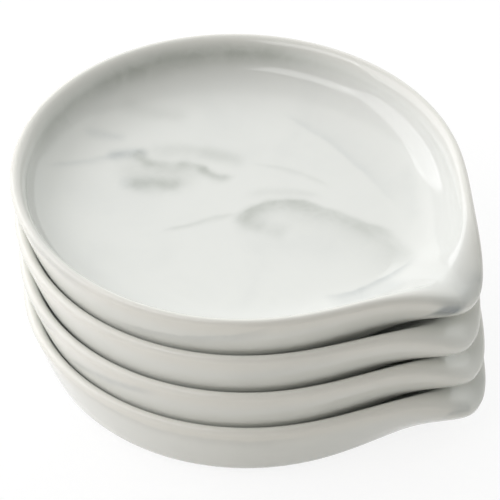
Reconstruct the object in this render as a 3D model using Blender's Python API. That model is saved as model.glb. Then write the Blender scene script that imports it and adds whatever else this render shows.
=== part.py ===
"""Four glazed ceramic spoon rests, nested in a stack.

Each dish is a shallow round bowl on a foot ring. Its leaning wall ends in a rounded rim, and on one side the
rim dips and swells into a broad lip that carries the spoon's handle. The section of the dish is worked out
once for every direction round the dish, and the sections are skinned into one closed shell.

Units are metres and +Z is up. The lip points along +X, and the stack stands on z = 0.
"""

import math

import bmesh
import bpy
from mathutils import Euler, Matrix, Vector
from mathutils.bvhtree import BVHTree
from mathutils.geometry import interpolate_bezier

# Round part of the dish
RIM_RADIUS = 0.0540
DISH_HEIGHT = 0.0185
RIM_THICKNESS = 0.0029
WALL_LEAN = math.radians(20.0)
FLOOR_THICKNESS = 0.0055
FLOOR_ROUND = 0.0112
FLOOR_TIGHTNESS = 0.97

# Foot
FOOT_ROUND = 0.0044
FOOT_RING_WIDTH = 0.0045
FOOT_RECESS = 0.0020
RECESS_SLOPE_WIDTH = 0.0030

# Spout: how far it stands out, how wide it is, and how blunt its nose is
SPOUT_REACH = 0.0144
SPOUT_HALF_WIDTH = 0.0113
SPOUT_NOSE_ROUND = 0.0040
SPOUT_TAPER = 1.26
SPOUT_FOOT_SHARE = 0.30
SPOUT_FLOOR_SHARE = 0.60
SPOUT_BELLY_HEIGHT_SHARE = 0.92
SPOUT_BELLY_HALF_WIDTH = 0.0082
SPOUT_FLARE_EASE_OUT = 2.05
SPOUT_FLARE_EASE_IN = 1.65

# Lip, where the rim dips at the end of the spout
LIP_DIP = 0.0056
LIP_HALF_WIDTH = 0.0120
LIP_THICKNESS = 0.0105
LIP_CROWN_HEIGHT = 0.0026

# Slope from the floor up to the lip, wider than the dip: how early the rim's round ends there, and how
# tightly the bowl turns
LIP_SLOPE_HALF_WIDTH = 0.0240
LIP_ROUND_OFF = math.radians(26.0)
LIP_TIGHTNESS = 0.65

# How the dishes lie on each other: step from each dish to the next, as a hand leaves them
SEAT_GAP = 0.0003
STACK_SLIDE_X = -0.00053
STACK_SLIDE_Y = -0.00049
STACK_TIP_X = math.radians(0.16)
STACK_TIP_Y = math.radians(0.22)

# Names from the table up, each with its turn about the stack's axis
DISHES = (
    ("dish_bottom", math.radians(1.4)),
    ("dish_lower", math.radians(0.9)),
    ("dish_upper", math.radians(-1.4)),
    ("dish_top", 0.0),
)

GLAZE_COLOR = (0.80, 0.81, 0.78, 1.0)
GLAZE_ROUGHNESS = 0.12

# Facets: sections round the dish, closer together at the spout, and points along each stretch of a section
SECTIONS = 72
CREASE_ANGLE = math.radians(35.0)
SECTION_EVENNESS = 0.65
RECESS_STEPS = 3
FOOT_STEPS = 3
WALL_STEPS = 4
RIM_STEPS = 6
BOWL_STEPS = 7

FLOOR_LEVEL = FOOT_RECESS + FLOOR_THICKNESS
LEAN_RUN = math.tan(WALL_LEAN)
RIM_CENTRE_RADIUS = RIM_RADIUS - RIM_THICKNESS / 2
RIM_CENTRE_HEIGHT = DISH_HEIGHT - RIM_THICKNESS / 2
HALF_RIM_RUN = RIM_THICKNESS / 2 / math.cos(WALL_LEAN)
WALL_RADIUS_AT_TABLE = RIM_CENTRE_RADIUS + HALF_RIM_RUN - LEAN_RUN * RIM_CENTRE_HEIGHT
FOOT_CENTRE_RADIUS = WALL_RADIUS_AT_TABLE + LEAN_RUN * FOOT_ROUND - FOOT_ROUND / math.cos(WALL_LEAN)
FOOT_ROUND_TOP = FOOT_ROUND * (1 - math.sin(WALL_LEAN))
INNER_WALL_RADIUS_AT_FLOOR = RIM_CENTRE_RADIUS - HALF_RIM_RUN - LEAN_RUN * (RIM_CENTRE_HEIGHT - FLOOR_LEVEL)
FLOOR_RADIUS = INNER_WALL_RADIUS_AT_FLOOR - FLOOR_ROUND


def clear_scene():
    """Remove whatever the open file holds."""
    for item in list(bpy.data.objects):
        bpy.data.objects.remove(item, do_unlink=True)


def spout_stand_out(angle):
    """How far the outline stands out of the round dish in this direction."""
    along = math.hypot(RIM_RADIUS * angle, SPOUT_NOSE_ROUND) - SPOUT_NOSE_ROUND
    return SPOUT_REACH * math.exp(-((along / SPOUT_HALF_WIDTH) ** SPOUT_TAPER))


def bell(distance, half_width):
    """A smooth hump: 1 at the middle, fading to 0 some way past the half width."""
    return math.exp(-((distance / half_width) ** 2))


def wall_radius(height):
    """Outer radius of the round part: a leaning wall with a round at its foot."""
    if height >= FOOT_ROUND_TOP:
        return WALL_RADIUS_AT_TABLE + LEAN_RUN * height
    return FOOT_CENTRE_RADIUS + math.sqrt(FOOT_ROUND**2 - (FOOT_ROUND - height) ** 2)


def spout_flare(height_share, belly_share):
    """Share of the spout's stand-out that is reached at this share of the wall's height."""
    climb = min(height_share / belly_share, 1.0)
    eased = (1 - (1 - climb) ** SPOUT_FLARE_EASE_OUT) ** SPOUT_FLARE_EASE_IN
    return SPOUT_FOOT_SHARE + (1 - SPOUT_FOOT_SHARE) * eased


def leaning(across, along):
    """Offset in radius and height of a step across the leaning wall and a step along it."""
    return Vector(
        (
            across * math.cos(WALL_LEAN) + along * math.sin(WALL_LEAN),
            along * math.cos(WALL_LEAN) - across * math.sin(WALL_LEAN),
        )
    )


def dish_section(angle):
    """Radius and height of each point of the section in one direction.

    The points run from under the floor round the foot, up the wall, over the rim and down the bowl to the
    floor.
    """
    stand_out = spout_stand_out(angle)
    sideways = (RIM_RADIUS + stand_out) * math.sin(angle) if abs(angle) < math.pi / 2 else RIM_RADIUS
    lip = bell(sideways, LIP_HALF_WIDTH)
    belly_share = 1 + (SPOUT_BELLY_HEIGHT_SHARE - 1) * bell(sideways, SPOUT_BELLY_HALF_WIDTH)

    # The rim is a half ellipse across the leaning wall, widest and lowest at the lip
    half_thickness = (RIM_THICKNESS + (LIP_THICKNESS - RIM_THICKNESS) * lip) / 2
    crown = RIM_THICKNESS / 2 + (LIP_CROWN_HEIGHT - RIM_THICKNESS / 2) * lip
    crown_rise = math.hypot(half_thickness * math.sin(WALL_LEAN), crown * math.cos(WALL_LEAN))
    rim_height = DISH_HEIGHT - LIP_DIP * lip - crown_rise
    wall_top = rim_height - half_thickness * math.sin(WALL_LEAN)

    def outer(height):
        return wall_radius(height) + stand_out * spout_flare(height / wall_top, belly_share)

    section = []
    ring_outer = FOOT_CENTRE_RADIUS + stand_out * SPOUT_FOOT_SHARE
    ring_inner = ring_outer - FOOT_RING_WIDTH
    for step in range(RECESS_STEPS, -1, -1):
        share = step / RECESS_STEPS
        rise = share * share * (3 - 2 * share)
        section.append((ring_inner - RECESS_SLOPE_WIDTH * share, FOOT_RECESS * rise))
    for step in range(FOOT_STEPS):
        turn = (math.pi / 2 - WALL_LEAN) * step / FOOT_STEPS
        height = FOOT_ROUND * (1 - math.cos(turn))
        section.append((outer(height), height))
    for step in range(WALL_STEPS):
        height = FOOT_ROUND_TOP + (wall_top - FOOT_ROUND_TOP) * step / WALL_STEPS
        section.append((outer(height), height))

    slope_share = bell(sideways, LIP_SLOPE_HALF_WIDTH)
    last_turn = math.pi - LIP_ROUND_OFF * slope_share
    rim_middle = Vector((outer(wall_top) - half_thickness * math.cos(WALL_LEAN), rim_height))
    for step in range(RIM_STEPS):
        turn = last_turn * step / RIM_STEPS
        section.append(rim_middle + leaning(half_thickness * math.cos(turn), crown * math.sin(turn)))

    # The bowl runs on along the rim's last slope, turns where that slope would meet the floor, and ends flat
    # on it
    edge = rim_middle + leaning(half_thickness * math.cos(last_turn), crown * math.sin(last_turn))
    slope = leaning(-half_thickness * math.sin(last_turn), crown * math.cos(last_turn))
    corner = edge - slope * ((edge.y - FLOOR_LEVEL) / slope.y)
    floor_edge = Vector((FLOOR_RADIUS + stand_out * SPOUT_FLOOR_SHARE, FLOOR_LEVEL))
    tightness = FLOOR_TIGHTNESS + (LIP_TIGHTNESS - FLOOR_TIGHTNESS) * slope_share
    handles = (edge.lerp(corner, tightness), floor_edge.lerp(corner, tightness))
    section += interpolate_bezier(edge, *handles, floor_edge, BOWL_STEPS + 1)
    return section


def section_angles():
    """Directions of the sections, symmetric about the spout and closer together there."""
    angles = []
    for number in range(SECTIONS):
        share = 2 * number / SECTIONS - 1
        angles.append(math.pi * share * (SECTION_EVENNESS + (1 - SECTION_EVENNESS) * share * share))
    return angles


def dish_mesh(name):
    """Skin the sections into a closed shell, with a flat floor and a flat recess under it."""
    shell = bmesh.new()
    columns = []
    for angle in section_angles():
        column = []
        for radius, height in dish_section(angle):
            column.append(shell.verts.new((radius * math.cos(angle), radius * math.sin(angle), height)))
        columns.append(column)
    for column, after in zip(columns, columns[1:] + columns[:1]):
        for low in range(len(column) - 1):
            shell.faces.new((column[low], after[low], after[low + 1], column[low + 1]))
    shell.faces.new([column[-1] for column in columns])
    shell.faces.new([column[0] for column in reversed(columns)])
    bmesh.ops.recalc_face_normals(shell, faces=shell.faces[:])
    mesh = bpy.data.meshes.new(name)
    shell.to_mesh(mesh)
    shell.free()
    mesh.shade_smooth()
    mesh.set_sharp_from_angle(angle=CREASE_ANGLE)
    return mesh


def glaze(name):
    """White glaze of one dish."""
    material = bpy.data.materials.new(name)
    material.use_nodes = True
    shader = material.node_tree.nodes["Principled BSDF"]
    shader.inputs["Base Color"].default_value = GLAZE_COLOR
    shader.inputs["Roughness"].default_value = GLAZE_ROUGHNESS
    shader.inputs["Metallic"].default_value = 0.0
    return material


def placed_points(dish, place):
    """The dish's points where the given placement puts them."""
    return [place @ vertex.co for vertex in dish.data.vertices]


def surface_of(dish, place):
    """Search tree over the dish's faces where the given placement puts them."""
    faces = [tuple(face.vertices) for face in dish.data.polygons]
    return BVHTree.FromPolygons(placed_points(dish, place), faces)


def smallest_gap(points, surface):
    """Distance from the surface to the nearest of the points."""
    return min(surface.find_nearest(point)[3] for point in points)


def settle(dish, place, lower_dish, lower_place):
    """Lower a dish from clear above the next one until its nearest point is SEAT_GAP from it.

    A step down by the spare distance can never pass the seat, so the steps close in on it from above.
    """
    lower_points = placed_points(lower_dish, lower_place)
    lower_surface = surface_of(lower_dish, lower_place)
    seated = Matrix.Translation((0, 0, 2 * DISH_HEIGHT)) @ place
    precision = SEAT_GAP / 1000
    spare = DISH_HEIGHT
    while spare > precision:
        points = placed_points(dish, seated)
        gap = min(smallest_gap(points, lower_surface), smallest_gap(lower_points, surface_of(dish, seated)))
        spare = gap - SEAT_GAP
        seated = Matrix.Translation((0, 0, -spare)) @ seated
    return seated


def stack_dishes(dishes):
    """Placement of each dish, from the table up, each settled on the one below it."""
    places = []
    for level, (dish, (name, turn)) in enumerate(zip(dishes, DISHES)):
        aim = Euler((STACK_TIP_X * level, STACK_TIP_Y * level, turn)).to_matrix().to_4x4()
        slide = Vector((STACK_SLIDE_X * level, STACK_SLIDE_Y * level, 0))
        if level:
            below = places[-1]
            slide.z = below.translation.z
            place = settle(dish, Matrix.Translation(slide) @ aim, dishes[level - 1], below)
        else:
            place = Matrix.Translation(slide) @ aim
        places.append(place)
        print(name, "stands", round(place.translation.z * 1000, 3), "mm up")
    return places


def main():
    """Build the dishes, stack them and centre the stack over the origin."""
    clear_scene()
    stack = bpy.data.objects.new("stack", None)
    bpy.context.scene.collection.objects.link(stack)
    dishes = []
    for name, _ in DISHES:
        dish = bpy.data.objects.new(name, dish_mesh(name))
        dish.data.materials.append(glaze(name + "_glaze"))
        bpy.context.scene.collection.objects.link(dish)
        dish.parent = stack
        dishes.append(dish)

    corners = []
    for dish, place in zip(dishes, stack_dishes(dishes)):
        dish.location = place.to_translation()
        dish.rotation_euler = place.to_euler()
        corners += placed_points(dish, place)
    low_x = min(point.x for point in corners)
    high_x = max(point.x for point in corners)
    low_y = min(point.y for point in corners)
    high_y = max(point.y for point in corners)
    stack.location = (-(low_x + high_x) / 2, -(low_y + high_y) / 2, 0)


main()
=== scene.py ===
"""Looks of a stack of marbled ceramic spoon rests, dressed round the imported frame.

Each dish of the frame is replaced by a fine skin with softer rounds, glazed white with soft grey marbling.
Sizes are metres unless a name ends in _mm. The lips point along +X and +Z is up.
"""

import logging
import math
from collections.abc import Callable
from dataclasses import dataclass, field
from enum import Enum
from typing import NamedTuple

import bpy
from mathutils import Euler, Matrix, Vector
from mathutils.geometry import interpolate_bezier


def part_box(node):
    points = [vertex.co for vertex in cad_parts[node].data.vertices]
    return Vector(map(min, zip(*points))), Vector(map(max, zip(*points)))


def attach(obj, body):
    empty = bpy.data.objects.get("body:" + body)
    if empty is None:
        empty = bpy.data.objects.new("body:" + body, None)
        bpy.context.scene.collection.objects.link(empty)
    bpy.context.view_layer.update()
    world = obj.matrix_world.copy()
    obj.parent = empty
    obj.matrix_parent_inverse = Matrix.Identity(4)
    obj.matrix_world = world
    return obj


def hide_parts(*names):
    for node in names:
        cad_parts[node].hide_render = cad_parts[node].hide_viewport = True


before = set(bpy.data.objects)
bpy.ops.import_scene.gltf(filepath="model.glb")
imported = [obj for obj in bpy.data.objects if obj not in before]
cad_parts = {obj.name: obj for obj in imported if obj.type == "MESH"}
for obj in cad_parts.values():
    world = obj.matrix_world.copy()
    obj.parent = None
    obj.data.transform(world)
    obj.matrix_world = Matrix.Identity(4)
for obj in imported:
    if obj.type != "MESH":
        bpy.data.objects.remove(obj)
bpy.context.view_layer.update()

MM = 0.001
LOG = logging.getLogger("spoon_rests")

Socket = bpy.types.NodeSocket
Colour = tuple[float, float, float, float]


class Zone(Enum):
    """Where on a dish a streak lies: the streaks on the inner wall are painted shade, the others marbling.
    """

    BASIN = "seen from above, x and y"
    INNER_WALL = "along the inner wall from the lip, and up it"
    WALL = "along the outer wall from the lip, and up it"


class Tone(Enum):
    """Colour of a streak of the marbling."""

    OLIVE = (0.36, 0.385, 0.345, 1.0)
    SLATE = (0.36, 0.395, 0.405, 1.0)
    INK = (0.20, 0.23, 0.25, 1.0)


@dataclass(frozen=True)
class Streak:
    """One smoky stroke of grey drawn between two points with a bow between them; most are marbling in the
    glaze, and those on the inner wall are painted shade.

    Points are millimetres on the dish. The soft half widths lie to the left and right of the stroke's way,
    and the spread is how much wider it ends than it starts.
    """

    zone: Zone
    tone: Tone
    start_mm: tuple[float, float]
    end_mm: tuple[float, float]
    bow_mm: float
    left_mm: float
    right_mm: float
    spread: float
    depth: float


class SectionPoint(NamedTuple):
    """One point of a dish's section: where it is, and how far it counts as outer wall and as rim."""

    radius: float
    height: float
    outside: float
    rim: float


def bell(distance: float, half_width: float) -> float:
    """Return a smooth hump that is 1 at the middle and fades past the half width."""
    return math.exp(-((distance / half_width) ** 2))


def blend(first: float, second: float, share: float) -> float:
    """Return the first value at share 0, the second at share 1, and a straight blend between them."""
    return first + (second - first) * share


def smooth_step(share: float) -> float:
    """Return a climb from 0 to 1 that starts and ends level."""
    return share * share * (3 - 2 * share)


@dataclass(frozen=True)
class RimRound:
    """Round of the rim in one direction: an outer and an inner quarter oval that meet at the crest.

    It leans with the wall. Turns run from 0 at the outer side, over the crest, to the last turn, where the
    bowl begins. The crest lies outside the middle by the offset. The outer oval is as high as the crown,
    and the inner one as the drop.
    """

    lean: float
    half: float
    offset: float
    crown: float
    drop: float
    last_turn: float

    @property
    def top(self) -> float:
        """Height of the highest point over the round's middle."""
        lean_sin, lean_cos = math.sin(self.lean), math.cos(self.lean)
        peak = math.hypot((self.half + self.offset) * lean_sin, self.drop * lean_cos)
        return peak + (self.crown - self.drop) * lean_cos - self.offset * lean_sin

    def leaning(self, across: float, along: float) -> Vector:
        """Return radius and height of a step across the rim and one along the wall's lean."""
        lean_sin, lean_cos = math.sin(self.lean), math.cos(self.lean)
        return Vector((across * lean_cos + along * lean_sin, along * lean_cos - across * lean_sin))

    def place(self, turn: float) -> Vector:
        """Return radius and height of the round at this turn, from its middle."""
        if turn < math.pi / 2:
            half, drop = self.half - self.offset, self.crown
        else:
            half, drop = self.half + self.offset, self.drop
        return self.leaning(self.offset + half * math.cos(turn), self.crown - drop * (1 - math.sin(turn)))

    def last_way(self) -> Vector:
        """Return the way in which the round runs at its last turn."""
        half = self.half + self.offset
        return self.leaning(-half * math.sin(self.last_turn), self.drop * math.cos(self.last_turn))


@dataclass(frozen=True)
class DishShape:
    """Section of one dish in every direction: the frame's solid with softer rounds and finer steps."""

    rim_radius: float = 0.0540
    height: float = 0.0185
    rim_thickness: float = 0.0029
    wall_lean: float = math.radians(20.0)
    floor_thickness: float = 0.0055
    floor_round: float = 0.0125
    floor_tightness: float = 0.62
    foot_round: float = 0.0044
    foot_ring_width: float = 0.0045
    foot_recess: float = 0.0020
    recess_slope_width: float = 0.0030
    spout_reach: float = 0.0144
    spout_half_width: float = 0.0113
    spout_nose_round: float = 0.0040
    spout_taper: float = 1.26
    spout_foot_share: float = 0.30
    spout_floor_share: float = 0.46
    spout_belly_height_share: float = 0.92
    spout_belly_half_width: float = 0.0082
    spout_flare_ease_out: float = 2.05
    spout_flare_ease_in: float = 1.65
    lip_dip: float = 0.0056
    lip_half_width: float = 0.0120
    lip_thickness: float = 0.0105
    lip_crown_height: float = 0.0026
    lip_tightness: float = 0.65
    lip_slope_half_width: float = 0.0240
    lip_round_off: float = math.radians(26.0)
    lip_crest_offset: float = 0.0009
    lip_edge_loss: float = 0.75
    rim_blend: float = 0.0030
    rim_crest_offset: float = 0.00025
    rim_inner_drop: float = 0.0032
    rim_inner_turn: float = math.radians(31.0)
    wall_belly: float = 0.00030
    wall_belly_by_lip: float = 0.00040
    wall_belly_angle: float = math.radians(58.0)
    wall_belly_spread: float = math.radians(36.0)
    wall_belly_lowness: float = 0.75
    sections: int = 240
    section_evenness: float = 0.65
    recess_steps: int = 8
    foot_steps: int = 8
    wall_steps: int = 12
    rim_steps: int = 18
    bowl_steps: int = 26
    floor_rings: int = 8

    @property
    def floor_level(self) -> float:
        """Height of the basin's floor over the table."""
        return self.foot_recess + self.floor_thickness

    @property
    def lean_run(self) -> float:
        """How far the wall leans out for each unit of height."""
        return math.tan(self.wall_lean)

    @property
    def rim_centre(self) -> tuple[float, float]:
        """Radius and height of the middle of the rim's round."""
        return self.rim_radius - self.rim_thickness / 2, self.height - self.rim_thickness / 2

    @property
    def wall_radius_at_table(self) -> float:
        """Radius at which the leaning outer wall would meet the table."""
        radius, height = self.rim_centre
        return radius + self.rim_thickness / 2 / math.cos(self.wall_lean) - self.lean_run * height

    @property
    def foot_centre_radius(self) -> float:
        """Radius of the middle of the round at the foot."""
        return self.wall_radius_at_table + self.foot_round * (self.lean_run - 1 / math.cos(self.wall_lean))

    @property
    def foot_round_top(self) -> float:
        """Height at which the foot's round runs into the wall."""
        return self.foot_round * (1 - math.sin(self.wall_lean))

    @property
    def floor_radius(self) -> float:
        """Radius at which the flat floor ends and the bowl's round begins."""
        radius, height = self.rim_centre
        inner = radius - self.rim_thickness / 2 / math.cos(self.wall_lean)
        return inner - self.lean_run * (height - self.floor_level) - self.floor_round

    def stand_out(self, angle: float) -> float:
        """Return how far the outline stands out of the round dish in this direction."""
        along = math.hypot(self.rim_radius * angle, self.spout_nose_round) - self.spout_nose_round
        return self.spout_reach * math.exp(-((along / self.spout_half_width) ** self.spout_taper))

    def wall_radius(self, height: float) -> float:
        """Return the outer radius of the round part, a leaning wall with a round at its foot."""
        if height >= self.foot_round_top:
            return self.wall_radius_at_table + self.lean_run * height
        return self.foot_centre_radius + math.sqrt(self.foot_round**2 - (self.foot_round - height) ** 2)

    def flare(self, height_share: float, belly_share: float) -> float:
        """Return the share of the spout's stand-out that is reached at this share of the wall's height."""
        climb = min(height_share / belly_share, 1.0)
        eased = (1 - (1 - climb) ** self.spout_flare_ease_out) ** self.spout_flare_ease_in
        return blend(self.spout_foot_share, 1.0, eased)

    def belly(self, angle: float, height_share: float) -> float:
        """Return how far the wall swells out between foot and rim, more on both sides of the lip."""
        by_lip = bell(abs(angle) - self.wall_belly_angle, self.wall_belly_spread)
        most = self.wall_belly + self.wall_belly_by_lip * by_lip
        return most * math.sin(math.pi * height_share**self.wall_belly_lowness)

    def section(self, angle: float) -> list[SectionPoint]:
        """Return the section in one direction, from under the floor round to its top.

        Args:
            angle: direction round the dish's axis, with the lip at 0.

        Returns:
            The section's points, in order along the glaze.
        """
        stand_out = self.stand_out(angle)
        reach = self.rim_radius + stand_out
        sideways = reach * math.sin(angle) if abs(angle) < math.pi / 2 else self.rim_radius
        lip = bell(sideways, self.lip_half_width)
        slope = bell(sideways, self.lip_slope_half_width)
        belly_share = blend(1.0, self.spout_belly_height_share, bell(sideways, self.spout_belly_half_width))
        rim = self.rim_round(lip, slope)
        rim_height = self.height - self.lip_dip * lip - rim.top
        wall_top = rim_height - rim.half * math.sin(self.wall_lean)

        def outer(height: float) -> float:
            """Return the outer radius at this height."""
            share = height / wall_top
            flared = self.wall_radius(height) + stand_out * self.flare(share, belly_share)
            return flared + self.belly(angle, share)

        middle = Vector((outer(wall_top) - rim.half * math.cos(self.wall_lean), rim_height))
        edge_glaze = 1 - self.lip_edge_loss * lip
        foot = self.foot_points(self.foot_centre_radius + stand_out * self.spout_foot_share, outer)
        wall = self.wall_points(wall_top, edge_glaze, outer)
        floor_end = self.floor_radius + stand_out * self.spout_floor_share
        bowl = self.bowl_points(middle + rim.place(rim.last_turn), rim.last_way(), floor_end, slope)
        return foot + wall + self.rim_points(middle, rim, edge_glaze) + bowl

    def rim_round(self, lip: float, slope: float) -> RimRound:
        """Return the rim's round, thicker at the lip and rounded off on the slope that leads there.

        Args:
            lip: how far this direction counts as lip.
            slope: how far it counts as the slope inside the lip.

        Returns:
            The round.
        """
        crown = blend(self.rim_thickness / 2, self.lip_crown_height, lip)
        return RimRound(
            lean=self.wall_lean,
            half=blend(self.rim_thickness, self.lip_thickness, lip) / 2,
            offset=self.rim_crest_offset * (1 - slope) + self.lip_crest_offset * lip,
            crown=crown,
            drop=blend(self.rim_inner_drop, crown, slope),
            last_turn=math.pi + blend(self.rim_inner_turn, -self.lip_round_off, slope),
        )

    def foot_points(self, ring_outer: float, outer: Callable[[float], float]) -> list[SectionPoint]:
        """Run from the recessed base down its slope, over the foot ring and up the foot's round.

        Args:
            ring_outer: outer radius of the foot ring.
            outer: outer radius of the dish at a height.

        Returns:
            The points, without the end of the round.
        """
        points = []
        for step in range(self.recess_steps, -1, -1):
            share = step / self.recess_steps
            radius = ring_outer - self.foot_ring_width - self.recess_slope_width * share
            points.append(SectionPoint(radius, self.foot_recess * smooth_step(share), 1.0, 0.0))
        for step in range(self.foot_steps):
            turn = (math.pi / 2 - self.wall_lean) * step / self.foot_steps
            height = self.foot_round * (1 - math.cos(turn))
            points.append(SectionPoint(outer(height), height, 1.0, 0.0))
        return points

    def wall_points(
        self, wall_top: float, edge_glaze: float, outer: Callable[[float], float]
    ) -> list[SectionPoint]:
        """Run up the outer wall.

        Args:
            wall_top: height at which the rim's round begins.
            edge_glaze: how strongly the rim's edge tint shows here.
            outer: outer radius of the dish at a height.

        Returns:
            The points, without the wall's top.
        """
        points = []
        for step in range(self.wall_steps):
            height = blend(self.foot_round_top, wall_top, step / self.wall_steps)
            edge_share = edge_glaze * bell(wall_top - height, self.rim_blend)
            points.append(SectionPoint(outer(height), height, 1.0, edge_share))
        return points

    def rim_points(self, middle: Vector, rim: RimRound, edge_glaze: float) -> list[SectionPoint]:
        """Run over the rim, from outer wall to bowl.

        Args:
            middle: radius and height of the round's middle.
            rim: the round.
            edge_glaze: how strongly the rim's edge tint shows here.

        Returns:
            The points, without the round's end.
        """
        points = []
        crest = math.pi / 2
        for step in range(self.rim_steps):
            share = step / self.rim_steps
            turn = rim.last_turn * share
            past_crest = max((turn - crest) / (rim.last_turn - crest), 0.0)
            outside = (1 + math.cos(math.pi * share)) / 2
            edge_share = edge_glaze * (1 - smooth_step(past_crest))
            points.append(SectionPoint(*(middle + rim.place(turn)), outside, edge_share))
        return points

    def bowl_points(self, edge: Vector, way: Vector, floor_end: float, slope: float) -> list[SectionPoint]:
        """Run from the rim's inner edge down the bowl to the flat floor.

        Args:
            edge: radius and height at which the rim's round ends.
            way: the way in which it ends.
            floor_end: radius at which the flat floor begins.
            slope: how far this direction counts as the slope inside the lip.

        Returns:
            The points, with both ends.
        """
        rest = Vector((floor_end, self.floor_level))
        corner = edge - way * ((edge.y - self.floor_level) / way.y)
        tightness = blend(self.floor_tightness, self.lip_tightness, slope)
        handles = (edge, edge.lerp(corner, tightness), rest.lerp(corner, tightness), rest)
        curve = interpolate_bezier(*handles, self.bowl_steps + 1)
        return [SectionPoint(*point, 0.0, 0.0) for point in curve]

    def angles(self) -> list[float]:
        """Return the directions of the sections, symmetric about the spout and closer together there."""
        even = self.section_evenness
        shares = [2 * number / self.sections - 1 for number in range(self.sections)]
        return [math.pi * share * (even + (1 - even) * share * share) for share in shares]

    def skin(self, name: str) -> bpy.types.Mesh:
        """Skin the sections into one closed mesh, with rings across the floor and the recess.

        Args:
            name: the mesh's name.

        Returns:
            The mesh, smooth, with the point attributes outside and rim and its foot ring in slot 1.
        """
        columns = []
        for angle in self.angles():
            section = self.section(angle)
            under, over = section[0], section[-1]
            shares = [ring / self.floor_rings for ring in range(1, self.floor_rings)]
            inner = [over._replace(radius=over.radius * (1 - share)) for share in shares]
            column = [under._replace(radius=under.radius * share) for share in shares] + section + inner
            columns.append((angle, column))
        length = len(columns[0][1])
        verts = [
            (point.radius * math.cos(angle), point.radius * math.sin(angle), point.height)
            for angle, column in columns
            for point in column
        ]
        under_middle, over_middle = len(verts), len(verts) + 1
        verts += [(0, 0, self.foot_recess), (0, 0, self.floor_level)]
        faces = []
        for number in range(self.sections):
            here = number * length
            after = (number + 1) % self.sections * length
            for low in range(length - 1):
                faces.append((here + low, after + low, after + low + 1, here + low + 1))
            faces.append((after, here, under_middle))
            faces.append((here + length - 1, after + length - 1, over_middle))
        mesh = bpy.data.meshes.new(name)
        mesh.from_pydata(verts, [], faces)
        mesh.shade_smooth()
        self.paint(mesh, [point for _, column in columns for point in column])
        ring = self.floor_rings - 1 + self.recess_steps
        for number in range(self.sections):
            mesh.polygons[number * (length + 1) + ring].material_index = 1
        return mesh

    @staticmethod
    def paint(mesh: bpy.types.Mesh, points: list[SectionPoint]) -> None:
        """Store how far each point counts as outer wall and as rim.

        Args:
            mesh: the dish's mesh, with the two middle points last.
            points: the section points in the mesh's order, without the middle points.
        """
        for name in ("outside", "rim"):
            attribute = mesh.attributes.new(name, "FLOAT", "POINT")
            values = [getattr(point, name) for point in points]
            middles = [1.0, 0.0] if name == "outside" else [0.0, 0.0]
            attribute.data.foreach_set("value", values + middles)


class Wiring:
    """Adds and joins the nodes of one shader tree."""

    def __init__(self, tree: bpy.types.NodeTree) -> None:
        """Keep the tree that the nodes go into."""
        self.tree = tree

    def add(self, kind: str, inputs: dict | None = None, **settings: object) -> bpy.types.Node:
        """Add a node.

        Args:
            kind: the node's type without the ShaderNode prefix.
            inputs: socket name or number to a socket to join, or to a plain value.
            settings: properties of the node.

        Returns:
            The new node.
        """
        node = self.tree.nodes.new("ShaderNode" + kind)
        for name, value in settings.items():
            setattr(node, name, value)
        for name, value in (inputs or {}).items():
            self.feed(node.inputs[name], value)
        return node

    def feed(self, socket: Socket, value: object) -> None:
        """Join a socket to another one, or set its plain value."""
        if isinstance(value, Socket):
            self.tree.links.new(value, socket)
        else:
            socket.default_value = value

    def maths(self, operation: str, *values: object) -> Socket:
        """Return the result of a Math node."""
        return self.add("Math", dict(enumerate(values)), operation=operation).outputs[0]

    def vector(self, operation: str, *values: object) -> Socket:
        """Return the vector result of a Vector Math node."""
        return self.add("VectorMath", dict(enumerate(values)), operation=operation).outputs["Vector"]

    def dot(self, first: object, second: object) -> Socket:
        """Return the dot product of two vectors."""
        return self.add("VectorMath", {0: first, 1: second}, operation="DOT_PRODUCT").outputs["Value"]

    def scaled(self, vector: Socket, factor: object) -> Socket:
        """Return a vector times a number."""
        return self.add("VectorMath", {0: vector, "Scale": factor}, operation="SCALE").outputs["Vector"]

    def ease(self, value: Socket, low: object, high: object) -> Socket:
        """Return 0 below low, 1 above high and a smooth step between them."""
        sockets = {"Value": value, "From Min": low, "From Max": high}
        return self.add("MapRange", sockets, interpolation_type="SMOOTHSTEP").outputs["Result"]

    def mix(self, share: object, first: object, second: object) -> Socket:
        """Return a mix of two numbers."""
        return self.add("Mix", {0: share, 2: first, 3: second}, data_type="FLOAT").outputs[0]

    def mix_colours(self, share: object, first: object, second: object) -> Socket:
        """Return a mix of two colours."""
        return self.add("Mix", {0: share, 6: first, 7: second}, data_type="RGBA").outputs[2]

    def noise(self, position: Socket, size_mm: float, seed: object, **more: object) -> bpy.types.Node:
        """Return a noise node over a position in millimetres, with features of the given size."""
        inputs = {"Vector": position, "W": seed, "Scale": 1 / size_mm, **more}
        return self.add("TexNoise", inputs, noise_dimensions="4D")

    def place(self, group: bpy.types.NodeTree, **inputs: object) -> bpy.types.Node:
        """Place a node group; an underscore in an input's name stands for a space."""
        node = self.add("Group", node_tree=group)
        for name, value in inputs.items():
            self.feed(node.inputs[name.replace("_", " ")], value)
        return node


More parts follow.
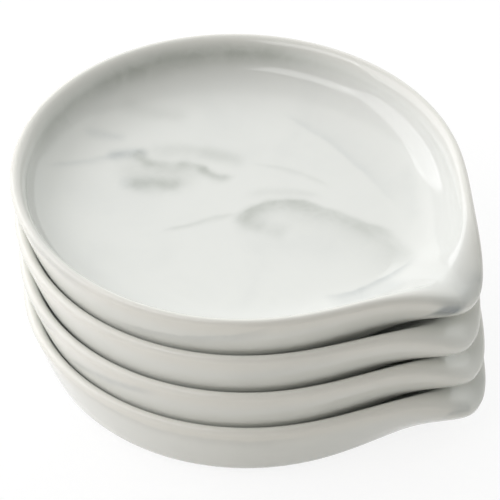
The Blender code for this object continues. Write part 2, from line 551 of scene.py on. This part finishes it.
@dataclass
class SharedEffects:
    """Node groups that the glaze of every dish uses, each with its own values."""

    broad_drift_mm: float = 16.0
    fine_drift_mm: float = 4.5
    fine_drift_share: float = 0.7
    stroke_begins: tuple[float, float] = (-0.05, 0.22)
    stroke_ends: tuple[float, float] = (1.05, 0.78)
    cloud_mm: float = 26.0
    cloud_range: tuple[float, float] = (0.45, 0.80)
    smoke_mm: float = 5.0
    smoke_range: tuple[float, float] = (0.20, 0.75)
    ripple_mm: float = 11.0
    gloss_mm: float = 20.0

    def __post_init__(self) -> None:
        """Build each group once."""
        self.drift = self._drift()
        self.streak = self._streak()
        self.clouds = self._clouds()
        self.skin = self._skin()

    @staticmethod
    def _group(
        name: str, inputs: dict[str, str], outputs: dict[str, str]
    ) -> tuple[Wiring, dict[str, Socket], bpy.types.Node]:
        """Start a node group.

        Args:
            name: the group's name.
            inputs: socket name to kind, such as Float or Vector.
            outputs: socket name to kind.

        Returns:
            The wiring, the input sockets by name, and the output node.
        """
        tree = bpy.data.node_groups.new(name, "ShaderNodeTree")
        for direction, sockets in (("INPUT", inputs), ("OUTPUT", outputs)):
            for socket, kind in sockets.items():
                tree.interface.new_socket(socket, in_out=direction, socket_type="NodeSocket" + kind)
        given = {socket.name: socket for socket in tree.nodes.new("NodeGroupInput").outputs}
        return Wiring(tree), given, tree.nodes.new("NodeGroupOutput")

    def _drift(self) -> bpy.types.NodeTree:
        """Return a group that lets a position wander, so that strokes drawn on it look poured."""
        inputs = {"Position": "Vector", "Seed": "Float", "Amount": "Float"}
        wires, given, out = self._group("marble_drift", inputs, {"Position": "Vector"})
        position, seed = given["Position"], given["Seed"]
        broad = wires.noise(position, self.broad_drift_mm, seed, Detail=1.0).outputs["Color"]
        fine = wires.noise(position, self.fine_drift_mm, seed, Detail=2.0).outputs["Color"]
        noise_middle = (0.5, 0.5, 0.5)
        centred = wires.vector("SUBTRACT", broad, noise_middle)
        ragged = wires.scaled(wires.vector("SUBTRACT", fine, noise_middle), self.fine_drift_share)
        offset = wires.scaled(wires.vector("ADD", centred, ragged), given["Amount"])
        moved = wires.vector("ADD", given["Position"], offset)
        wires.feed(out.inputs["Position"], moved)
        return wires.tree

    def _streak(self) -> bpy.types.NodeTree:
        """Return a group that lays one bowed stroke of its own tone over the colour so far."""
        points = {"Position": "Vector", "Start": "Vector", "End": "Vector"}
        numbers = ("Bow", "Left", "Right", "Spread", "Depth")
        wires, given, out = self._group(
            "marble_streak",
            points | {name: "Float" for name in numbers} | {"Tone": "Color", "Color": "Color"},
            {"Color": "Color"},
        )
        whole = wires.vector("SUBTRACT", given["End"], given["Start"])
        way = wires.vector("NORMALIZE", whole)
        side = wires.vector("CROSS_PRODUCT", (0.0, 0.0, 1.0), way)
        offset = wires.vector("SUBTRACT", given["Position"], given["Start"])
        along = wires.maths("DIVIDE", wires.dot(offset, way), wires.dot(whole, way))
        hump = wires.maths("MULTIPLY", along, wires.maths("SUBTRACT", 1.0, along))
        bowed = wires.maths("MULTIPLY", wires.maths("MULTIPLY", hump, 4.0), given["Bow"])
        across = wires.maths("SUBTRACT", wires.dot(offset, side), bowed)
        half = wires.mix(wires.maths("GREATER_THAN", across, 0.0), given["Right"], given["Left"])
        wider = wires.mix(along, 1.0, given["Spread"])
        share = wires.maths("DIVIDE", across, wires.maths("MULTIPLY", half, wider))
        square = wires.maths("MULTIPLY", share, share)
        profile = wires.maths("EXPONENT", wires.maths("MULTIPLY", square, -1.0))
        begun = wires.ease(along, *self.stroke_begins)
        ended = wires.ease(along, *self.stroke_ends)
        mask = wires.maths("MULTIPLY", wires.maths("MULTIPLY", begun, ended), profile)
        cover = wires.maths("MULTIPLY", mask, given["Depth"])
        wires.feed(out.inputs["Color"], wires.mix_colours(cover, given["Color"], given["Tone"]))
        return wires.tree

    def _clouds(self) -> bpy.types.NodeTree:
        """Return a group of broad faint clouds, and of the uneven density of the smoke in the streaks."""
        inputs = {"Position": "Vector", "Seed": "Float"}
        wires, given, out = self._group("marble_clouds", inputs, {"Clouds": "Float", "Density": "Float"})
        position, seed = given["Position"], given["Seed"]
        broad = wires.noise(position, self.cloud_mm, seed, Detail=3.0, Distortion=1.2).outputs["Fac"]
        wires.feed(out.inputs["Clouds"], wires.ease(broad, *self.cloud_range))
        smoke = wires.noise(position, self.smoke_mm, seed, Detail=4.0, Distortion=0.8).outputs["Fac"]
        wires.feed(out.inputs["Density"], wires.ease(smoke, *self.smoke_range))
        return wires.tree

    def _skin(self) -> bpy.types.NodeTree:
        """Return a group for the glaze's own surface: a slow ripple and a little change of gloss."""
        inputs = {"Position": "Vector", "Seed": "Float"}
        wires, given, out = self._group("glaze_skin", inputs, {"Height": "Float", "Gloss": "Float"})
        position, seed = given["Position"], given["Seed"]
        ripple = wires.noise(position, self.ripple_mm, seed, Detail=1.0).outputs["Fac"]
        wires.feed(out.inputs["Height"], ripple)
        patches = wires.noise(position, self.gloss_mm, seed, Detail=2.0).outputs["Fac"]
        wires.feed(out.inputs["Gloss"], patches)
        return wires.tree


@dataclass(frozen=True)
class MarbledGlaze:
    """Glossy white glaze with grey marbling, which differs from dish to dish; the top dish's streaks also
    lay painted shade on its inner wall.
    """

    white: Colour = (0.80, 0.81, 0.78, 1.0)
    cloud: Colour = (0.70, 0.715, 0.695, 1.0)
    edge_tint: Colour = (0.83, 0.795, 0.725, 1.0)
    edge_tint_share: float = 0.45
    cloud_share: float = 0.30
    thinnest_smoke: float = 0.62
    drift_mm: float = 2.2
    roughness_low: float = 0.06
    roughness_high: float = 0.11
    ripple_height: float = 0.00003
    refraction: float = 1.5

    def material(
        self, name: str, effects: SharedEffects, shape: DishShape, streaks: tuple[Streak, ...], seed: float
    ) -> bpy.types.Material:
        """Make the glaze of one dish.

        Args:
            name: the material's name.
            effects: the shared node groups.
            shape: the dish that wears it.
            streaks: the dish's own strokes of grey.
            seed: makes the dish's clouds differ from the others.

        Returns:
            The new material.
        """
        material = bpy.data.materials.new(name)
        material.use_nodes = True
        wires = Wiring(material.node_tree)
        shader = material.node_tree.nodes["Principled BSDF"]
        place = wires.add("TexCoord").outputs["Object"]
        position = wires.scaled(place, 1 / MM)
        outside = wires.add("Attribute", attribute_name="outside").outputs["Fac"]
        rim = wires.add("Attribute", attribute_name="rim").outputs["Fac"]

        parts = wires.add("SeparateXYZ", {0: position}).outputs
        plan = wires.add("CombineXYZ", {0: parts[0], 1: parts[1]}).outputs[0]
        turn = wires.maths("ARCTAN2", parts[1], parts[0])
        along = wires.maths("MULTIPLY", turn, shape.rim_radius / MM)
        unrolled = wires.add("CombineXYZ", {0: along, 1: parts[2]}).outputs[0]
        clouds = wires.place(effects.clouds, Position=position, Seed=seed).outputs
        cloudy = wires.maths("MULTIPLY", clouds["Clouds"], self.cloud_share)
        edge = wires.maths("MULTIPLY", rim, self.edge_tint_share)
        ground = wires.mix_colours(edge, wires.mix_colours(cloudy, self.white, self.cloud), self.edge_tint)
        drifting_plan, drifting_wall = (
            wires.place(effects.drift, Position=flat, Seed=seed, Amount=self.drift_mm).outputs["Position"]
            for flat in (plan, unrolled)
        )
        basin = self._strokes(wires, effects, Zone.BASIN, drifting_plan, ground, streaks)
        # Strokes on the inner wall are painted shade under the rim, laid over the basin's marbling.
        basin = self._strokes(wires, effects, Zone.INNER_WALL, unrolled, basin, streaks)
        wall = self._strokes(wires, effects, Zone.WALL, drifting_wall, ground, streaks)
        strokes = wires.mix_colours(outside, basin, wall)
        smoke = wires.mix(clouds["Density"], self.thinnest_smoke, 1.0)
        wires.feed(shader.inputs["Base Color"], wires.mix_colours(smoke, ground, strokes))

        skin = wires.place(effects.skin, Position=position, Seed=seed).outputs
        rough = wires.mix(skin["Gloss"], self.roughness_low, self.roughness_high)
        wires.feed(shader.inputs["Roughness"], rough)
        bump = wires.add("Bump", {"Height": skin["Height"], "Distance": self.ripple_height})
        wires.feed(shader.inputs["Normal"], bump.outputs["Normal"])
        shader.inputs["IOR"].default_value = self.refraction
        return material

    def _strokes(
        self,
        wires: Wiring,
        effects: SharedEffects,
        zone: Zone,
        flat: Socket,
        ground: Socket,
        streaks: tuple[Streak, ...],
    ) -> Socket:
        """Lay the strokes of one zone over each other.

        Args:
            wires: the material's wiring.
            effects: the shared node groups.
            zone: the zone whose strokes are drawn.
            flat: position in the zone's own two directions, in millimetres.
            ground: colour of the glaze under the strokes.
            streaks: the strokes of the whole dish.

        Returns:
            The glaze's colour with the strokes.
        """
        colour = ground
        for streak in streaks:
            if streak.zone is zone:
                stroke = wires.place(
                    effects.streak,
                    Position=flat,
                    Start=(*streak.start_mm, 0.0),
                    End=(*streak.end_mm, 0.0),
                    Bow=streak.bow_mm,
                    Left=streak.left_mm,
                    Right=streak.right_mm,
                    Spread=streak.spread,
                    Depth=streak.depth,
                    Tone=streak.tone.value,
                    Color=colour,
                )
                colour = stroke.outputs["Color"]
        return colour


@dataclass(frozen=True)
class BareClay:
    """Unglazed fired clay of the foot ring."""

    pale: Colour = (0.66, 0.62, 0.55, 1.0)
    dark: Colour = (0.50, 0.46, 0.40, 1.0)
    roughness: float = 0.75
    grain_mm: float = 0.5
    grain_height: float = 0.00004

    def material(self, name: str) -> bpy.types.Material:
        """Return a matt, slightly grainy material."""
        material = bpy.data.materials.new(name)
        material.use_nodes = True
        wires = Wiring(material.node_tree)
        shader = material.node_tree.nodes["Principled BSDF"]
        position = wires.scaled(wires.add("TexCoord").outputs["Object"], 1 / MM)
        grain = wires.noise(position, self.grain_mm, 0.0, Detail=4.0).outputs["Fac"]
        wires.feed(shader.inputs["Base Color"], wires.mix_colours(grain, self.dark, self.pale))
        bump = wires.add("Bump", {"Height": grain, "Distance": self.grain_height})
        wires.feed(shader.inputs["Normal"], bump.outputs["Normal"])
        shader.inputs["Roughness"].default_value = self.roughness
        return material


@dataclass
class SpoonRest:
    """One dish of the stack."""

    node: str
    body: str
    turn: float
    tip: tuple[float, float]
    seed: float
    streaks: tuple[Streak, ...]

    def build(self, shape: DishShape) -> bpy.types.Object:
        """Make the dish's fine skin where the frame's solid stands.

        Args:
            shape: the section of the dish.

        Returns:
            The new piece, not dressed yet.
        """
        mesh = shape.skin("glazed_" + self.node)
        mesh.transform(Euler((*self.tip, self.turn)).to_matrix().to_4x4())
        piece = bpy.data.objects.new(mesh.name, mesh)
        bpy.context.scene.collection.objects.link(piece)
        low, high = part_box(self.node)
        corners = [Vector(corner) for corner in piece.bound_box]
        piece.location = (low + high) / 2 - (corners[0] + corners[6]) / 2
        return piece

    def dress(self, piece: bpy.types.Object, glaze: bpy.types.Material, clay: bpy.types.Material) -> None:
        """Give the dish its finishes and tie it to its body.

        Args:
            piece: the dish's skin.
            glaze: finish of everything but the foot ring.
            clay: finish of the foot ring.
        """
        piece.data.materials.append(glaze)
        piece.data.materials.append(clay)
        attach(piece, self.body)
        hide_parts(self.node)
        LOG.info("%s rides on %s with %d faces", piece.name, self.body, len(piece.data.polygons))


@dataclass
class Stack:
    """The four dishes, nested, each with its own marbling."""

    seed_step: float = 3.7
    tip_step: tuple[float, float] = (math.radians(0.16), math.radians(0.22))
    turns: tuple[float, ...] = tuple(math.radians(turn) for turn in (1.4, 0.9, -1.4, 0.0))
    names: tuple[str, ...] = ("bottom", "lower", "upper", "top")

    def build(self) -> None:
        """Build and dress every dish from the table up."""
        shape = DishShape()
        effects = SharedEffects()
        clay = BareClay().material("bare_clay")
        for level, (name, turn) in enumerate(zip(self.names, self.turns)):
            tip = (self.tip_step[0] * level, self.tip_step[1] * level)
            seed = self.seed_step * (level + 1)
            dish = SpoonRest("dish_" + name, name, turn, tip, seed, MARBLING_AND_PAINTED_SHADE[name])
            glaze = MarbledGlaze().material("glaze_" + name, effects, shape, dish.streaks, dish.seed)
            dish.dress(dish.build(shape), glaze, clay)


# Each dish's streaks: grey marbling, and on the top dish's inner wall a band of painted shade under the
# rim.
MARBLING_AND_PAINTED_SHADE: dict[str, tuple[Streak, ...]] = {
    "top": (
        # Thin line in from the left and the dark body that it ends in
        Streak(Zone.BASIN, Tone.SLATE, (-45, -16), (-33, 2), 0.4, 0.6, 0.9, 1.8, 0.20),
        Streak(Zone.BASIN, Tone.SLATE, (-36.5, -2), (-28, 4.8), 0.3, 1.7, 2.0, 1.1, 0.52),
        # Olive wave on from there
        Streak(Zone.BASIN, Tone.OLIVE, (-31.8, 4), (-24.5, 0.6), -1.0, 1.8, 1.9, 1.0, 0.45),
        Streak(Zone.BASIN, Tone.OLIVE, (-28.5, 0), (-18, 7.2), -1.1, 1.8, 2.6, 1.0, 0.38),
        Streak(Zone.BASIN, Tone.OLIVE, (-21, 4.6), (-12.5, 6.9), 0.8, 1.2, 2.0, 1.0, 0.48),
        Streak(Zone.BASIN, Tone.OLIVE, (-16, 7.1), (-6, 7.3), -0.9, 1.4, 2.0, 0.9, 0.52),
        # Soft band over the wave
        Streak(Zone.BASIN, Tone.OLIVE, (-30, 4.2), (-7, 14.8), 2.6, 2.4, 3.2, 1.0, 0.22),
        Streak(Zone.BASIN, Tone.OLIVE, (-19, 11.4), (-6.5, 14.2), 0.2, 2.2, 2.4, 1.0, 0.14),
        # Blob under the wave, blue at its left end, and the smoke between them
        Streak(Zone.BASIN, Tone.SLATE, (-29, -8.6), (-21, -4.6), -0.2, 2.4, 2.4, 1.0, 0.24),
        Streak(Zone.BASIN, Tone.OLIVE, (-27.5, -8), (-14.5, -0.4), -0.3, 2.4, 3.0, 1.0, 0.56),
        Streak(Zone.BASIN, Tone.OLIVE, (-33, -5), (-12, 3.5), 0.0, 4.6, 5.0, 1.0, 0.22),
        # Thin line in to the hook, the hook, and its crest out to the lip
        Streak(Zone.BASIN, Tone.OLIVE, (-9.8, -18.4), (2.4, -1.4), 0.0, 0.6, 1.0, 1.3, 0.22),
        Streak(Zone.BASIN, Tone.OLIVE, (2.6, -6), (18, 10.6), 4.8, 1.2, 3.2, 0.9, 0.58),
        Streak(Zone.BASIN, Tone.OLIVE, (1.2, -3.6), (10, -3.4), -0.3, 2.8, 2.2, 1.0, 0.30),
        Streak(Zone.BASIN, Tone.OLIVE, (3, -4), (16, -1.8), -0.6, 3.4, 2.4, 1.0, 0.22),
        Streak(Zone.BASIN, Tone.OLIVE, (9.5, 7.4), (37, 11.6), 1.2, 1.0, 3.4, 1.0, 0.38),
        Streak(Zone.BASIN, Tone.OLIVE, (25, 11.6), (48, 3.4), 2.3, 1.4, 3.6, 1.0, 0.16),
        Streak(Zone.BASIN, Tone.OLIVE, (8, 5), (48, 3), 4.8, 1.2, 7.5, 1.0, 0.17),
        # Faint arcs over the crest
        Streak(Zone.BASIN, Tone.OLIVE, (-1, 4), (16, 14.2), 1.5, 1.4, 1.8, 1.0, 0.15),
        Streak(Zone.BASIN, Tone.OLIVE, (-5.5, 14.6), (15, 18.4), 1.6, 0.7, 1.0, 1.0, 0.13),
        # Veil at the back with one clear edge, and a stripe beside it
        Streak(Zone.BASIN, Tone.SLATE, (-9, 35.6), (26, 24.2), 2.0, 1.2, 0.8, 1.0, 0.11),
        Streak(Zone.BASIN, Tone.SLATE, (-10, 36), (34, 20), 2.4, 6.0, 0.7, 1.0, 0.10),
        Streak(Zone.BASIN, Tone.SLATE, (26, 35), (40, 16), 0.0, 2.0, 2.0, 1.0, 0.08),
        # Patches by the left wall
        Streak(Zone.BASIN, Tone.SLATE, (-46, 1.5), (-36, 6.4), 0.0, 1.7, 1.7, 1.0, 0.20),
        Streak(Zone.BASIN, Tone.OLIVE, (-44, 14), (-28, 22), 0.0, 2.6, 2.6, 1.0, 0.16),
        # Grey wedge along the channel, up to the lip
        Streak(Zone.BASIN, Tone.SLATE, (35, -17), (46, 4.5), -1.4, 0.8, 1.8, 0.7, 0.42),
        Streak(Zone.BASIN, Tone.SLATE, (37, -19), (49, -3), 0.0, 2.6, 2.6, 1.0, 0.24),
        # Faint haze on the floor
        Streak(Zone.BASIN, Tone.SLATE, (-42, -20), (-12, -10), 0.0, 6.0, 6.0, 1.0, 0.06),
        Streak(Zone.BASIN, Tone.SLATE, (8, -10), (32, 0), 0.0, 5.0, 5.0, 1.0, 0.07),
        # Painted shade under the rim at the back: a dark band on the upper inner wall, drawn in the olive
        # tone
        Streak(Zone.INNER_WALL, Tone.OLIVE, (200, 14.6), (84, 15.4), 0.0, 2.6, 2.4, 1.0, 0.34),
        Streak(Zone.INNER_WALL, Tone.OLIVE, (-205, 14.6), (-150, 14.2), 0.0, 2.4, 2.6, 1.0, 0.34),
        Streak(Zone.INNER_WALL, Tone.OLIVE, (160, 16), (96, 15.8), 0.0, 2.8, 2.0, 1.0, 0.44),
        # Outer wall at the left
        Streak(Zone.WALL, Tone.SLATE, (-116, 18), (-90, 16.8), 0.0, 1.6, 1.8, 1.0, 0.30),
        Streak(Zone.WALL, Tone.SLATE, (-86, 9), (-46, 16), -1.4, 0.5, 1.8, 1.4, 0.26),
        # Dark spot on the face of the lip, and the haze round it
        Streak(Zone.WALL, Tone.SLATE, (-9.2, 11.0), (-3.2, 7.6), 0.0, 1.6, 1.9, 1.0, 0.9),
        Streak(Zone.WALL, Tone.INK, (-8.6, 10.2), (-4.6, 7.4), 0.0, 1.2, 1.6, 1.0, 1.0),
        Streak(Zone.WALL, Tone.SLATE, (-4, 10.5), (5, 10.8), 0.0, 1.6, 1.6, 1.0, 0.40),
        Streak(Zone.WALL, Tone.SLATE, (-11, 13), (6, 12), 0.0, 2.6, 2.6, 1.0, 0.22),
    ),
    "upper": (
        Streak(Zone.WALL, Tone.SLATE, (-58, 11), (-30, 16), 0.0, 3.2, 3.2, 1.0, 0.10),
        Streak(Zone.WALL, Tone.OLIVE, (40, 9), (82, 14), 1.5, 0.7, 2.6, 1.4, 0.30),
    ),
    "lower": (
        Streak(Zone.WALL, Tone.SLATE, (-104, 9), (-74, 15.4), 0.4, 1.3, 1.5, 1.0, 0.32),
        Streak(Zone.WALL, Tone.SLATE, (-126, 15), (-104, 17.5), 0.0, 1.5, 1.6, 1.0, 0.26),
        Streak(Zone.WALL, Tone.OLIVE, (92, 16), (150, 8), -2.0, 0.8, 2.8, 1.4, 0.28),
    ),
    "bottom": (
        Streak(Zone.WALL, Tone.SLATE, (-106, 17), (-36, 15), -1.2, 0.7, 1.5, 1.2, 0.18),
        Streak(Zone.WALL, Tone.SLATE, (-6, 12.8), (9, 11.5), 0.0, 2.4, 2.4, 1.0, 0.26),
        Streak(Zone.WALL, Tone.SLATE, (-6.5, 11.2), (-1, 10), 0.0, 1.1, 1.1, 1.0, 0.36),
        Streak(Zone.WALL, Tone.OLIVE, (60, 6), (110, 13), 2.0, 1.0, 3.0, 1.4, 0.28),
    ),
}


@dataclass(frozen=True)
class Softbox:
    """One rectangular studio light, placed round the stack and aimed at it."""

    side: str
    azimuth: float
    elevation: float
    distance: float
    width: float
    height: float
    radiance: float
    colour: tuple[float, float, float]

    def build(self, aim: Vector) -> None:
        """Make the light.

        Args:
            aim: the point that the light faces.
        """
        name = self.side + "_softbox"
        light = bpy.data.lights.new(name, "AREA")
        light.shape = "RECTANGLE"
        light.size, light.size_y = self.width, self.height
        light.energy = self.radiance * math.pi * self.width * self.height
        light.color = self.colour
        lamp = bpy.data.objects.new(name, light)
        bpy.context.scene.collection.objects.link(lamp)
        flat = math.cos(self.elevation)
        way = Vector(
            (math.cos(self.azimuth) * flat, math.sin(self.azimuth) * flat, math.sin(self.elevation))
        )
        lamp.location = aim + way * self.distance
        lamp.rotation_euler = way.to_track_quat("Z", "Y").to_euler()
        lamp.visible_camera = False


@dataclass
class Studio:
    """Camera, pale floor and soft light."""

    aim: Vector = field(default_factory=lambda: Vector((-0.00673, -0.00072, 0.030)))
    camera_azimuth: float = math.radians(32.265)
    camera_elevation: float = math.radians(40.18)
    camera_roll: float = math.radians(0.618)
    camera_distance: float = 0.76908
    camera_pan: float = 0.004456
    camera_tilt: float = 0.001657
    focal_pixels: float = 3175.4
    frame_pixels: float = 500.0
    sensor: float = 36.0
    view_range: tuple[float, float] = (0.01, 20.0)
    floor_half_side: float = 2.5
    floor_colour: Colour = (0.915, 0.90, 0.865, 1.0)
    floor_roughness: float = 0.9
    floor_shade: Colour = (0.13, 0.13, 0.13, 1.0)
    floor_glow: float = 0.86
    dark_side: Colour = (0.13, 0.115, 0.09, 1.0)
    bright_side: Colour = (0.60, 0.62, 0.62, 1.0)
    bright_way: tuple[float, float, float] = (0.0, 1.0, 0.0)
    boxes: tuple[Softbox, ...] = (
        Softbox("left", math.radians(198), math.radians(31), 1.2, 1.6, 0.95, 2.25, (1.0, 1.0, 1.03)),
        Softbox("back", math.radians(108), math.radians(32), 1.2, 2.0, 1.5, 0.69, (1.0, 1.0, 0.98)),
        Softbox("front", math.radians(260), math.radians(50), 1.2, 0.9, 0.5, 2.7, (1.0, 1.0, 1.01)),
    )

    def build(self) -> None:
        """Set up everything round the stack."""
        self._camera()
        self._floor()
        self._light()

    def _camera(self) -> None:
        """Aim the camera as the photograph was taken."""
        data = bpy.data.cameras.new("camera")
        data.sensor_width = self.sensor
        data.lens = self.sensor * self.focal_pixels / self.frame_pixels
        data.clip_start, data.clip_end = self.view_range
        camera = bpy.data.objects.new("camera", data)
        bpy.context.scene.collection.objects.link(camera)
        flat = math.cos(self.camera_elevation)
        back = Vector(
            (
                math.sin(self.camera_azimuth) * flat,
                -math.cos(self.camera_azimuth) * flat,
                math.sin(self.camera_elevation),
            )
        )
        camera.location = self.aim + back * self.camera_distance
        turned = (-back).to_track_quat("-Z", "Y").to_matrix()
        for angle, axis in ((self.camera_roll, "Z"), (-self.camera_pan, "Y"), (-self.camera_tilt, "X")):
            turned = turned @ Matrix.Rotation(angle, 3, axis)
        camera.rotation_euler = turned.to_euler()
        bpy.context.scene.camera = camera

    def _floor(self) -> None:
        """Lay the pale floor."""
        half = self.floor_half_side
        corners = [(-half, -half, 0), (half, -half, 0), (half, half, 0), (-half, half, 0)]
        mesh = bpy.data.meshes.new("floor")
        mesh.from_pydata(corners, [], [(0, 1, 2, 3)])
        material = bpy.data.materials.new("pale_floor")
        material.use_nodes = True
        shader = material.node_tree.nodes["Principled BSDF"]
        shader.inputs["Roughness"].default_value = self.floor_roughness
        wires = Wiring(material.node_tree)
        rays = wires.add("LightPath").outputs
        seen = wires.maths("ADD", rays["Is Camera Ray"], rays["Is Glossy Ray"])
        seen = wires.maths("ADD", seen, rays["Is Transmission Ray"])
        paint = wires.mix_colours(seen, self.floor_colour, self.floor_shade)
        wires.feed(shader.inputs["Base Color"], paint)
        shader.inputs["Emission Color"].default_value = (1.0, 1.0, 1.0, 1.0)
        wires.feed(shader.inputs["Emission Strength"], wires.maths("MULTIPLY", seen, self.floor_glow))
        mesh.materials.append(material)
        floor = bpy.data.objects.new("floor", mesh)
        bpy.context.scene.collection.objects.link(floor)

    def _light(self) -> None:
        """Hang the softboxes and set the soft light all round, brighter behind the stack."""
        for box in self.boxes:
            box.build(self.aim)
        world = bpy.data.worlds.new("studio")
        world.use_nodes = True
        wires = Wiring(world.node_tree)
        sky = world.node_tree.nodes["Background"]
        slope = wires.dot(wires.add("TexCoord").outputs["Generated"], self.bright_way)
        share = wires.ease(slope, -1.0, 1.0)
        wires.feed(sky.inputs["Color"], wires.mix_colours(share, self.dark_side, self.bright_side))
        bpy.context.scene.world = world
        bpy.context.scene.view_settings.view_transform = "Standard"


def main() -> None:
    """Build the stack and the studio."""
    logging.basicConfig(level=logging.INFO, format="%(name)s: %(message)s")
    Stack().build()
    Studio().build()
    bpy.context.view_layer.update()
    LOG.info("sizes written")


if __name__ == "__main__":
    main()
